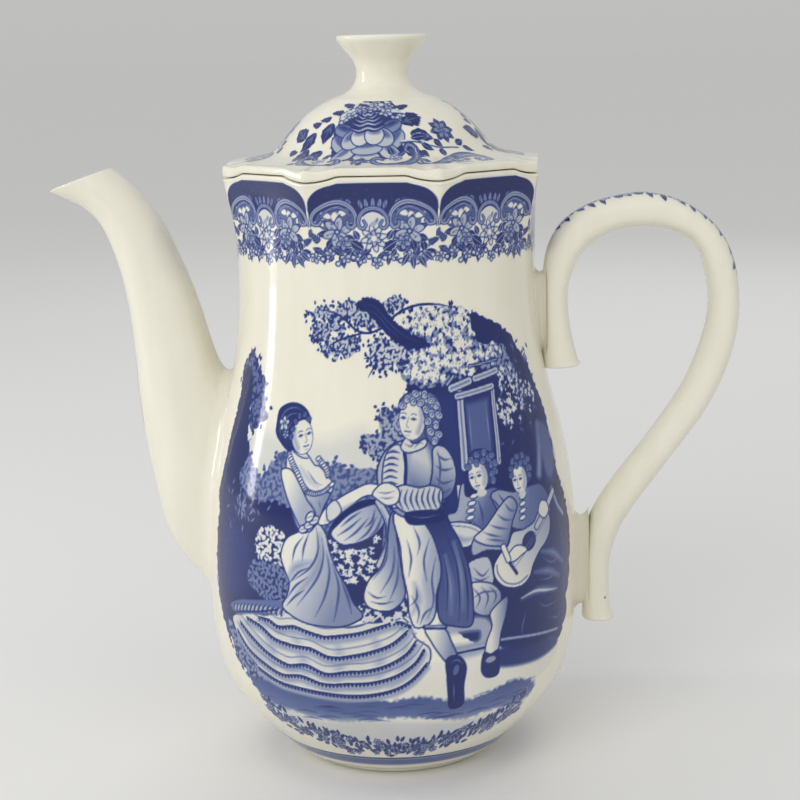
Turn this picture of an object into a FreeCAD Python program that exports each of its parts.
"""Tall ironstone coffee pot with a lift-off lid.

The pot stands on a low foot ring at the origin, +Z up.  The spout points along
-X and the strap handle along +X.  All lengths are millimetres.

The clay pieces are cast apart and joined wet with slip: the body, its foot
ring, the spout, the handle with a pad at each end, and, for the lid, the
brimmed dome, the locating collar under it and the knob.
"""
import FreeCAD, Part
import math
import os

import Sketcher

V = FreeCAD.Vector

# ---------------------------------------------------------------- sizes
SIZES = [
    # the body's outline
    ("rim_height", 202.0),        # rim of the body above the table
    ("foot_height", 3.0),         # height of the foot ring
    ("foot_radius", 32.6),        # foot ring where it meets the table
    ("base_radius", 36.3),        # body where it meets the foot ring
    ("belly_radius", 63.2),       # fullest part of the body
    ("neck_radius", 49.9),        # slimmest part of the body
    ("rim_corner", 55.4),         # rim at its eight corners
    ("rim_panel", 51.4),          # rim in the middle of its eight panels
    ("rim_dip", 1.8),             # how far the rim sinks at each corner
    ("dip_curve", 26.0),          # radius of that dip
    ("wall", 4.2),                # thickness of the body's wall
    ("floor_thickness", 5.0),
    ("foot_bore", 27.0),          # radius of the recess inside the foot ring
    ("foot_lobe", 1.2),           # how far the foot's lobes stand out
    # the lid
    ("lid_gap", 0.3),             # clearance between the lid and the rim
    ("brim_thickness", 2.6),      # thickness of the brim at its edge
    ("dome_radius", 36.0),        # dome where it leaves the brim
    ("dome_height", 20.2),        # top of the dome above the brim's top face
    ("lid_wall", 3.6),
    ("collar_fit", 1.5),          # clearance between the collar and the mouth
    ("collar_thickness", 3.0),
    ("collar_depth", 9.0),
    ("steam_hole", 1.8),          # radius of the steam hole in the dome
    # the knob
    ("knob_height", 19.9),        # from the dome's top to the knob's top
    ("knob_radius", 15.1),        # rim of the knob
    ("knob_waist", 8.7),          # slimmest part of the knob
    ("knob_root", 12.6),          # where the knob spreads onto the dome
    # the spout
    ("spout_wall", 3.0),
    ("strainer_hole", 2.6),       # radius of each hole behind the spout
    ("strainer_ring", 11.0),      # radius of the ring of holes
    ("strainer_height", 96.0),    # middle of the strainer above the table
    # the handle
    ("pad_thickness", 2.2),       # slip pad between the body and the handle
    ("pad_half_width", 5.4),
    ("strap_half_width", 7.2),    # half the width of the strap
]

LOBES = 8
HALF_PANEL = 180.0 / LOBES        # degrees from a panel's middle to its corner

# Stations of the body's outline: share of the way from the foot ring up to the
# rim, and how much of the swell the outline has there.
LOWER_SWELL = [(0.0, 0.0), (0.035, 0.275), (0.0755, 0.546), (0.1255, 0.807),
               (0.196, 0.963), (0.2865, 1.0)]
UPPER_SWELL = [(0.387, 0.992), (0.4775, 0.88), (0.558, 0.647), (0.638, 0.323),
               (0.7185, 0.098), (0.799, 0.01)]
# Stations of the flared neck: share of the height, share of the corners' flare
# and share of the panels' flare.
FLARE = [(0.8595, 0.11, 0.0), (0.9195, 0.44, 0.08), (0.9648, 0.75, 0.42), (1.0, 1.0, 1.0)]

# The spout's and the handle's outlines are drawn for a pot of these sizes, and
# are carried along when the rim, the belly, the neck or the pads change.
DRAWN_FOR = {"rim_height": 202.0, "foot_height": 3.0, "belly_radius": 63.2,
             "neck_radius": 49.9, "pad_thickness": 2.2}

# Stations of the spout from inside the body to past its lip: a point on its
# lower edge, the point across from it on its upper edge, and half its breadth.
SPOUT = [((-50.0, 44.0), (-42.0, 126.0), 19.0),
         ((-62.3, 56.0), (-50.5, 129.6), 18.6),
         ((-72.6, 67.0), (-55.5, 132.6), 17.8),
         ((-79.0, 79.5), (-58.3, 136.4), 16.8),
         ((-82.4, 96.0), (-60.2, 141.3), 15.6),
         ((-85.0, 112.0), (-61.8, 147.0), 14.4),
         ((-86.4, 127.0), (-63.4, 153.0), 13.3),
         ((-87.2, 141.0), (-65.4, 159.5), 12.3),
         ((-88.3, 153.0), (-67.9, 166.5), 11.5),
         ((-90.3, 165.0), (-71.0, 174.0), 10.7),
         ((-93.3, 175.5), (-75.3, 183.5), 10.0),
         ((-97.4, 184.5), (-81.0, 191.8), 9.4),
         ((-102.8, 189.8), (-87.8, 199.0), 8.8),
         ((-109.0, 193.0), (-96.0, 204.6), 8.2),
         ((-117.5, 196.9), (-107.0, 208.6), 7.4)]
# The lip is cut on a slant from the throat down to the beak's tip.
LIP_THROAT = (-94.2, 202.4)
LIP_TIP = (-114.6, 195.4)

# Stations of the handle from the foot of its upper end over the loop to the
# foot of its lower end: a point on the loop's outer edge and the point across
# from it on the inner edge.
HANDLE = [((52.1, 134.6), (64.3, 134.6)),
          ((52.1, 148.0), (61.6, 148.0)),
          ((52.2, 161.0), (61.1, 160.0)),
          ((53.6, 173.0), (63.8, 168.6)),
          ((58.4, 182.0), (67.2, 173.4)),
          ((67.0, 188.0), (73.0, 177.6)),
          ((77.0, 190.9), (79.4, 179.8)),
          ((87.5, 191.8), (87.5, 180.4)),
          ((99.0, 188.6), (95.2, 179.0)),
          ((109.0, 181.4), (101.6, 175.3)),
          ((115.4, 170.6), (105.4, 168.0)),
          ((117.9, 154.5), (107.4, 154.8)),
          ((115.6, 138.0), (105.0, 141.8)),
          ((108.0, 120.0), (98.6, 126.4)),
          ((96.0, 102.8), (87.3, 109.6)),
          ((84.5, 87.2), (75.6, 94.2)),
          ((78.0, 76.4), (68.2, 82.0)),
          ((75.1, 66.0), (65.6, 69.0)),
          ((74.8, 57.0), (65.4, 57.0)),
          ((76.2, 46.0), (65.4, 46.0))]
UPPER_END = 3                     # stations before this one follow the neck
LOWER_END = 16                    # stations from this one on follow the belly
PAD_SPANS = {"upper": (135.8, 166.6), "lower": (47.6, 82.6)}
NOTCH_RADIUS = 7.5                # hollow cut under each end of the handle
NOTCH_DEPTH = 1.3

# ------------------------------------------------------------- document
doc = FreeCAD.newDocument("CoffeePot")
sheet = doc.addObject("Spreadsheet::Sheet", "Sizes")
for row, (alias, value) in enumerate(SIZES, start=1):
    sheet.set("A%d" % row, alias)
    sheet.set("B%d" % row, str(value))
    sheet.setAlias("B%d" % row, alias)
doc.recompute()


def size(alias):
    """The number in one cell of the sheet."""
    return float(sheet.get(alias))


def bind(obj, prop, expression):
    """Tie a property to the sheet, whose aliases are written with a $."""
    obj.setExpression(prop, expression.replace("$", "Sizes."))


def origin_plane(body, role):
    """One of a body's own origin planes."""
    for feature in body.Origin.OriginFeatures:
        if feature.Role == role:
            return feature
    raise ValueError(role)


def make(kind, name, **bindings):
    """A Part object whose numeric properties are tied to the sheet."""
    obj = doc.addObject(kind, name)
    for prop, expression in bindings.items():
        bind(obj, prop.replace("__", "."), expression)
    return obj


def cut(name, base, tool):
    obj = doc.addObject("Part::Cut", name)
    obj.Base = base
    obj.Tool = tool
    return obj


def fuse(name, shapes):
    obj = doc.addObject("Part::MultiFuse", name)
    obj.Shapes = shapes
    return obj


# ---------------------------------------------------- the lobed outlines
def outline_stations():
    """Height, corner radius and panel radius of each station, as formulas."""
    rise = "($rim_height - $foot_height)"
    stations = []
    for share, swell in LOWER_SWELL:
        height = "$foot_height + %s * %g" % (rise, share)
        radius = "$base_radius + ($belly_radius - $base_radius) * %g" % swell
        stations.append((height, radius, radius))
    for share, swell in UPPER_SWELL:
        height = "$foot_height + %s * %g" % (rise, share)
        radius = "$neck_radius + ($belly_radius - $neck_radius) * %g" % swell
        stations.append((height, radius, radius))
    for share, corner, panel in FLARE:
        height = "$foot_height + %s * %g" % (rise, share)
        at_corner = "$neck_radius + ($rim_corner - $neck_radius) * %g" % corner
        at_panel = "$neck_radius + ($rim_panel - $neck_radius) * %g" % panel
        stations.append((height, at_corner, at_panel))
    return stations


def wedge_sketch(body, name, height, corner, panel):
    """One panel's slice of a lobed section: two radial lines and an arc."""
    sketch = body.newObject("Sketcher::SketchObject", name)
    sketch.AttachmentSupport = [(origin_plane(body, "XY_Plane"), "")]
    sketch.MapMode = "FlatFace"
    bind(sketch, "AttachmentOffset.Base.z", height)
    corner_now = sheet.evalExpression(corner.replace("$", ""))
    panel_now = sheet.evalExpression(panel.replace("$", ""))
    half = math.radians(HALF_PANEL)
    # a sketch's arc runs anticlockwise, so a hollow panel's starts at its far end
    start, end = (1, 2) if panel_now > corner_now * math.cos(half) else (2, 1)
    first = V(corner_now * math.cos(half), -corner_now * math.sin(half), 0)
    last = V(corner_now * math.cos(half), corner_now * math.sin(half), 0)
    sketch.addGeometry(Part.LineSegment(V(0, 0, 0), first))
    sketch.addGeometry(Part.Arc(first, V(panel_now, 0, 0), last))
    sketch.addGeometry(Part.LineSegment(last, V(0, 0, 0)))
    sketch.addConstraint(Sketcher.Constraint("Coincident", 0, 1, -1, 1))
    sketch.addConstraint(Sketcher.Constraint("Coincident", 2, 2, -1, 1))
    sketch.addConstraint(Sketcher.Constraint("Coincident", 0, 2, 1, start))
    sketch.addConstraint(Sketcher.Constraint("Coincident", 1, end, 2, 1))
    sketch.addConstraint(Sketcher.Constraint("Symmetric", 1, 1, 1, 2, -1))
    for constraint, formula in (("DistanceX", "(%s) * cos(%g)"), ("DistanceY", "(%s) * sin(%g)")):
        index = sketch.addConstraint(Sketcher.Constraint(
            constraint, -1, 1, 1, end, last.x if constraint == "DistanceX" else last.y))
        bind(sketch, "Constraints[%d]" % index, formula % (corner, HALF_PANEL))
    chord = "((%s) * sin(%g))" % (corner, HALF_PANEL)
    rise = "((%s) - (%s) * cos(%g))" % (panel, corner, HALF_PANEL)
    radius = "(%s ^ 2 + %s ^ 2) / (2 * abs(%s))" % (chord, rise, rise)
    index = sketch.addConstraint(Sketcher.Constraint("Radius", 1, sketch.Geometry[1].Radius))
    bind(sketch, "Constraints[%d]" % index, radius)
    return sketch


def lobed_body(name, stations):
    """A solid lofted through lobed sections: one panel, repeated round Z."""
    body = doc.addObject("PartDesign::Body", name)
    sketches = [wedge_sketch(body, "%s_section_%d" % (name, number), *station)
                for number, station in enumerate(stations)]
    loft = body.newObject("PartDesign::AdditiveLoft", name + "_panel")
    loft.Profile = sketches[0]
    loft.Sections = sketches[1:]
    doc.recompute()
    pattern = body.newObject("PartDesign::PolarPattern", name + "_panels")
    pattern.Originals = [loft]
    pattern.Axis = (origin_plane(body, "Z_Axis"), [""])
    pattern.Angle = 360
    pattern.Occurrences = LOBES
    body.Tip = pattern
    return body


def corner_cylinders(name, reach, radius, height):
    """Level cylinders lying along the eight corner directions."""
    cylinders = []
    for number in range(LOBES // 2):
        cylinder = make("Part::Cylinder", "%s_%d" % (name, number),
                        Radius=radius, Height="2 * (%s)" % reach)
        turn = HALF_PANEL + number * 2 * HALF_PANEL
        cylinder.Placement.Rotation = FreeCAD.Rotation(V(0, 0, 1), V(
            math.cos(math.radians(turn)), math.sin(math.radians(turn)), 0))
        for axis, part in (("x", math.cos), ("y", math.sin)):
            bind(cylinder, "Placement.Base." + axis,
                 "-(%s) * %.9f" % (reach, part(math.radians(turn))))
        bind(cylinder, "Placement.Base.z", height)
        cylinders.append(cylinder)
    return fuse(name, cylinders)


STATIONS = outline_stations()
outline = lobed_body("outline", STATIONS)
doc.recompute()

dips = corner_cylinders("rim_dips", "$rim_corner * 1.5", "$dip_curve",
                        "$rim_height - $rim_dip + $dip_curve")
rim_dipped = cut("rim_dipped", outline, dips)


# ----------------------------------------------------------- the cavity
def ring_section(name, radius, height):
    circle = make("Part::Circle", name, Radius=radius)
    bind(circle, "Placement.Base.z", height)
    return circle


def loft(name, sections):
    obj = doc.addObject("Part::Loft", name)
    obj.Sections = sections
    obj.Solid = True
    return obj


def cavity_solid():
    """The hollow of the body, one wall inside its panels."""
    floor = "$foot_height + $floor_thickness"
    rings = [ring_section("cavity_ring_0", "$base_radius - $wall / 2", floor)]
    for number, (height, _, panel) in enumerate(STATIONS[2:], start=1):
        rings.append(ring_section("cavity_ring_%d" % number, "(%s) - $wall" % panel, height))
    mouth = "$rim_panel - $wall"
    rings.append(ring_section("cavity_mouth", mouth, "$rim_height + $rim_dip"))
    return loft("cavity", rings)


def strainer():
    """Seven short drills through the wall behind the spout."""
    places = [(0.0, 0.0)]
    for number in range(6):
        angle = math.radians(60 * number + 30)
        places.append((math.cos(angle), math.sin(angle)))
    drills = []
    for number, (across, up) in enumerate(places):
        drill = make("Part::Cylinder", "strainer_drill_%d" % number,
                     Radius="$strainer_hole", Height="$belly_radius")
        drill.Placement.Rotation = FreeCAD.Rotation(V(0, 0, 1), V(-1, 0, 0))
        bind(drill, "Placement.Base.x", "-$belly_radius / 2")
        bind(drill, "Placement.Base.y", "$strainer_ring * %.9f" % across)
        bind(drill, "Placement.Base.z", "$strainer_height + $strainer_ring * %.9f" % up)
        drills.append(drill)
    return fuse("strainer_drills", drills)


hollow = cut("body_hollow", rim_dipped, cavity_solid())
body_shell = cut("body_shell", hollow, strainer())

# -------------------------------------------------------- the foot ring
foot_outline = lobed_body("foot_outline", [
    ("0", "$foot_radius - $foot_lobe - 0.9", "$foot_radius - 0.9"),
    ("$foot_height * 0.3", "$foot_radius - $foot_lobe + 0.4", "$foot_radius + 0.4"),
    ("$foot_height", "$base_radius - $foot_lobe", "$base_radius")])
foot_bore = make("Part::Cylinder", "foot_recess", Radius="$foot_bore", Height="$foot_height * 2")
bind(foot_bore, "Placement.Base.z", "-$foot_height / 2")
foot_ring = cut("foot_ring", foot_outline, foot_bore)


# ------------------------------------------------------ spout and handle
# A Part::Loft turns its sections over where they swing through much of a
# circle, so these two curved pieces are skinned over their ovals in code.
RING_POINTS = 24                  # points round each oval
STEP = 4.5                        # from one oval to the next


def smooth(stations):
    """The stations with smooth (Catmull-Rom) steps between them."""
    ends = [stations[0]] + stations + [stations[-1]]
    steps = []
    for before, start, end, after in zip(ends, ends[1:], ends[2:], ends[3:]):
        count = max(1, round((math.dist(start[:2], end[:2]) + math.dist(start[2:4], end[2:4]))
                             / 2 / STEP))
        for step in range(count):
            share = step / count
            steps.append([
                0.5 * (2 * q + (r - p) * share + (2 * p - 5 * q + 4 * r - s) * share ** 2
                       + (3 * q - p - 3 * r + s) * share ** 3)
                for p, q, r, s in zip(before, start, end, after)])
    return steps + [stations[-1]]


def skinned(name, stations, wall=0.0):
    """A solid skinned over ovals that stand in the XZ plane.

    Each station is x and z on one edge, x and z across from it, and half the
    breadth.  A wall is taken off all round when it makes a bore.
    """
    grid = []
    for x, z, far_x, far_z, breadth in smooth(stations):
        middle = V((x + far_x) / 2, 0, (z + far_z) / 2)
        along = V(far_x - x, 0, far_z - z)
        along = along.normalize() * (math.dist((x, z), (far_x, far_z)) / 2 - wall)
        across = V(0, breadth - wall, 0)
        turns = [2 * math.pi * number / RING_POINTS for number in range(RING_POINTS)]
        ring = [middle + along * math.cos(turn) + across * math.sin(turn) for turn in turns]
        grid.append(ring + ring[:1])
    surface = Part.BSplineSurface()
    surface.interpolate(grid)
    first, last = surface.bounds()[:2]
    ends = [Part.Face(Part.Wire([surface.uIso(end).toShape()])) for end in (first, last)]
    shell = Part.makeShell([surface.toShape()] + ends)
    shell.sewShape()
    solid = Part.makeSolid(shell)
    if solid.Volume < 0:
        solid.reverse()
    obj = doc.addObject("Part::Feature", name)
    obj.Shape = solid
    return obj


def growth(alias):
    """How far a size is from the one the outlines are drawn for."""
    return size(alias) - DRAWN_FOR[alias]


def rise_share(height):
    """Share of the way up from the foot ring to the rim that a drawn height is."""
    foot = DRAWN_FOR["foot_height"]
    return (height - foot) / (DRAWN_FOR["rim_height"] - foot)


def raised(height):
    """A drawn height, carried to this pot's rim."""
    foot = size("foot_height")
    return foot + (size("rim_height") - foot) * rise_share(height)


def spout_solid(name, wall):
    """The spout's outer form, or its bore when a wall is taken off."""
    shift = growth("belly_radius")
    return skinned(name, [
        (low[0] - shift, raised(low[1]), high[0] - shift, raised(high[1]), breadth)
        for low, high, breadth in SPOUT], wall)


def lip_cutter():
    """A block above the slanting cut that forms the beak."""
    (throat, top), (tip, low) = LIP_THROAT, LIP_TIP
    slope = math.degrees(math.atan2(raised(top) - raised(low), throat - tip))
    block = make("Part::Box", "lip_cutter", Length="$belly_radius", Width="$belly_radius",
                 Height="$belly_radius / 2")
    block.Placement.Rotation = FreeCAD.Rotation(V(0, 1, 0), -slope)
    overshoot = 15 / math.cos(math.radians(slope))
    block.Placement.Base = V(tip - growth("belly_radius") - 15, -size("belly_radius") / 2,
                             raised(low) - overshoot * math.sin(math.radians(slope)))
    return block


spout_outer = spout_solid("spout_outer", 0.0)
spout_bore = spout_solid("spout_bore", size("spout_wall"))
spout_tube = cut("spout_tube", spout_outer, spout_bore)
spout_lipped = cut("spout_lipped", spout_tube, lip_cutter())
spout = cut("spout", spout_lipped, outline)

UPPER_ROOT = "$neck_radius + $pad_thickness"
LOWER_ROOT = "$belly_radius + $pad_thickness"


def handle_solid():
    """The strap, skinned over its ovals."""
    stations = []
    for number, (outer, inner) in enumerate(HANDLE):
        share = min(1.0, max(0.0, (number - UPPER_END) / (LOWER_END - UPPER_END)))
        shift = growth("neck_radius") * (1 - share) + growth("belly_radius") * share
        shift += growth("pad_thickness")
        stations.append((outer[0] + shift, raised(outer[1]), inner[0] + shift,
                         raised(inner[1]), size("strap_half_width")))
    return skinned("handle_strap", stations)


def notch(name, root, out, height):
    """A level cylinder that hollows the foot of one end of the handle."""
    cylinder = make("Part::Cylinder", name, Height="$strap_half_width * 4")
    cylinder.Radius = NOTCH_RADIUS
    cylinder.Placement.Rotation = FreeCAD.Rotation(V(1, 0, 0), -90)
    bind(cylinder, "Placement.Base.x", "%s + %g" % (root, out))
    bind(cylinder, "Placement.Base.y", "-$strap_half_width * 2")
    bind(cylinder, "Placement.Base.z", "$foot_height + ($rim_height - $foot_height) * %.9f - %g" % (
        rise_share(height), NOTCH_RADIUS - NOTCH_DEPTH))
    return cylinder


def pad(which, root):
    """A slip pad that fills the space between the body and the strap."""
    low, high = (rise_share(height) for height in PAD_SPANS[which])
    block = make("Part::Box", which + "_pad_block", Length="$pad_thickness * 3 + $wall",
                 Width="$pad_half_width * 2",
                 Height="($rim_height - $foot_height) * %.9f" % (high - low))
    bind(block, "Placement.Base.x", "%s - $pad_thickness * 2 - $wall" % root)
    bind(block, "Placement.Base.y", "-$pad_half_width")
    bind(block, "Placement.Base.z", "$foot_height + ($rim_height - $foot_height) * %.9f" % low)
    outside = cut(which + "_pad_outside", block, outline)
    return cut("handle_%s_pad" % which, outside, handle)


notches = fuse("handle_notches", [notch("upper_notch", UPPER_ROOT, 5.0, HANDLE[0][0][1]),
                                  notch("lower_notch", LOWER_ROOT, 4.2, HANDLE[-1][0][1])])
handle = cut("handle", cut("handle_notched", handle_solid(), notches), outline)
upper_pad = pad("upper", UPPER_ROOT)
lower_pad = pad("lower", LOWER_ROOT)


# -------------------------------------------------------------- the lid
def tie(sketch, kind, number, vertex, value, formula):
    """Fix a vertex's distance from the origin by a formula."""
    index = sketch.addConstraint(Sketcher.Constraint(kind, -1, 1, number, vertex, value))
    bind(sketch, "Constraints[%d]" % index, formula)


def profile_body(name, segments):
    """A solid of revolution about Z from lines and arcs in the XZ plane.

    Each segment is (x, z) of its start, and for an arc a radius whose sign
    says which way it bends.  The last segment closes on the first.
    """
    body = doc.addObject("PartDesign::Body", name)
    sketch = body.newObject("Sketcher::SketchObject", name + "_profile")
    sketch.AttachmentSupport = [(origin_plane(body, "XZ_Plane"), "")]
    sketch.MapMode = "FlatFace"
    points = [V(*(float(sheet.evalExpression(part.replace("$", ""))) for part in segment[:2]), 0)
              for segment in segments]
    count = len(segments)
    for number, segment in enumerate(segments):
        start, end = points[number], points[(number + 1) % count]
        if len(segment) == 2:
            sketch.addGeometry(Part.LineSegment(start, end))
            continue
        radius = abs(segment[2])
        side = math.copysign(1, segment[2])
        half = (end - start).multiply(0.5)
        sagitta = radius - math.sqrt(radius ** 2 - half.Length ** 2)
        normal = V(-half.y, half.x, 0).normalize()
        crown = start + half + normal * sagitta * side
        sketch.addGeometry(Part.Arc(end, crown, start) if side > 0 else Part.Arc(start, crown, end))
    for number, segment in enumerate(segments):
        is_arc = len(segment) == 3
        geometry = sketch.Geometry[number]
        turned = is_arc and (geometry.StartPoint - points[number]).Length > 1e-6
        vertex = 2 if turned else 1
        if segment[0] == "0":
            sketch.addConstraint(Sketcher.Constraint("PointOnObject", number, vertex, -2))
        else:
            tie(sketch, "DistanceX", number, vertex, points[number].x, segment[0])
        tie(sketch, "DistanceY", number, vertex, points[number].y, segment[1])
        if is_arc:
            sketch.addConstraint(Sketcher.Constraint("Radius", number, geometry.Radius))
    for number in range(count):
        following = (number + 1) % count
        ends = []
        for index, point in ((number, points[following]), (following, points[following])):
            geometry = sketch.Geometry[index]
            ends.append(1 if (geometry.StartPoint - point).Length < 1e-6 else 2)
        sketch.addConstraint(Sketcher.Constraint("Coincident", number, ends[0],
                                                 following, ends[1]))
    revolution = body.newObject("PartDesign::Revolution", name + "_turned")
    revolution.Profile = sketch
    revolution.ReferenceAxis = (origin_plane(body, "Z_Axis"), [""])
    revolution.Angle = 360
    body.Tip = revolution
    return body


SEAT = "($rim_height + $lid_gap)"
BRIM_TOP = "(%s + $brim_thickness)" % SEAT
DOME_TOP = "(%s + $dome_height)" % BRIM_TOP
KNOB_TOP = "(%s + $knob_height)" % DOME_TOP

lid_form = profile_body("lid_form", [
    ("0", "$rim_height - 2 * $rim_dip"),
    ("$rim_corner * 1.2", "$rim_height - 2 * $rim_dip"),
    ("$rim_corner * 1.2", BRIM_TOP + " - 0.4"),
    ("$dome_radius + 12", BRIM_TOP + " + 0.1", 26),
    ("$dome_radius + 1", BRIM_TOP + " + 2.8", 6),
    ("$dome_radius - 2.4", BRIM_TOP + " + 6.4", -35),
    ("$knob_root + $lid_gap", DOME_TOP),
    ("0", DOME_TOP)])
brim_outline = lobed_body("brim_outline", [
    ("$rim_height - 3 * $rim_dip", "$rim_corner", "$rim_panel"),
    ("$rim_height + $dome_height * 2", "$rim_corner", "$rim_panel")])
lid_blank = doc.addObject("Part::MultiCommon", "lid_blank")
lid_blank.Shapes = [lid_form, brim_outline]

# Under the brim the lid follows the rim: flat over the panels, dipping at the
# corners, with the same clearance everywhere.
seat_disc = make("Part::Cylinder", "seat_disc", Radius="$rim_corner * 1.4", Height="$rim_dip * 4 + $lid_gap")
bind(seat_disc, "Placement.Base.z", "$rim_height - $rim_dip * 4")
seat_lobes = corner_cylinders("seat_lobes", "$rim_corner * 1.5", "$dip_curve - $lid_gap",
                              "$rim_height - $rim_dip + $dip_curve")
seat_lobe_ring = cut("seat_lobe_ring", seat_lobes,
                     make("Part::Cylinder", "mouth_plug", Radius="$rim_panel - $wall",
                          Height="$rim_height * 2"))
seat = cut("lid_seat", seat_disc, seat_lobe_ring)
lid_seated = cut("lid_seated", lid_blank, seat)

lid_hollow = profile_body("lid_hollow", [
    ("0", SEAT + " - 5"),
    ("$dome_radius - $lid_wall", SEAT + " - 5"),
    ("$dome_radius - $lid_wall", BRIM_TOP + " + 1"),
    ("$dome_radius - $lid_wall - 2.4", BRIM_TOP + " + 5", -31),
    ("$knob_root - 2", DOME_TOP + " - $lid_wall - 0.6"),
    ("0", DOME_TOP + " - $lid_wall")])
steam_drill = make("Part::Cylinder", "steam_drill", Radius="$steam_hole", Height="$dome_height * 2")
bind(steam_drill, "Placement.Base.y", "$knob_root + 9")
bind(steam_drill, "Placement.Base.z", "$rim_height")
lid = cut("lid", cut("lid_open", lid_seated, lid_hollow), steam_drill)

collar_outer = make("Part::Cylinder", "collar_outer", Radius="$rim_panel - $wall - $collar_fit",
                    Height="$collar_depth")
bind(collar_outer, "Placement.Base.z", SEAT + " - $collar_depth")
collar_inner = make("Part::Cylinder", "collar_inner", Height="$collar_depth * 3",
                    Radius="$rim_panel - $wall - $collar_fit - $collar_thickness")
bind(collar_inner, "Placement.Base.z", SEAT + " - $collar_depth * 2")
lid_collar = cut("lid_collar", collar_outer, collar_inner)

knob = profile_body("knob", [
    ("0", DOME_TOP),
    ("$knob_root", DOME_TOP),
    ("$knob_root", DOME_TOP + " + 1.2", 7),
    ("$knob_waist", DOME_TOP + " + 7.4", 17),
    ("$knob_radius - 1.6", KNOB_TOP + " - 3.9"),
    ("$knob_radius", KNOB_TOP + " - 1.5", -1.5),
    ("$knob_radius - 1.2", KNOB_TOP),
    ("0", KNOB_TOP)])

# -------------------------------------------------------- check and write
PIECES = {"body_shell": body_shell, "foot_ring": foot_ring, "spout": spout,
          "handle": handle, "handle_upper_pad": upper_pad, "handle_lower_pad": lower_pad,
          "lid": lid, "lid_collar": lid_collar, "knob": knob}

doc.recompute()
for obj in doc.Objects:
    if "Invalid" in obj.State or "Error" in obj.State:
        raise RuntimeError("%s failed: %s" % (obj.Name, obj.State))
os.makedirs("parts", exist_ok=True)
for node, piece in PIECES.items():
    piece.Label = node
    shape = piece.Shape
    if shape.isNull() or not shape.isValid():
        raise RuntimeError(node + " has no valid shape")
    print(node, len(shape.Solids), "solid(s),", round(shape.Volume), "mm3,", shape.BoundBox)
for node, piece in PIECES.items():
    piece.Shape.exportStep("parts/%s.step" % node)
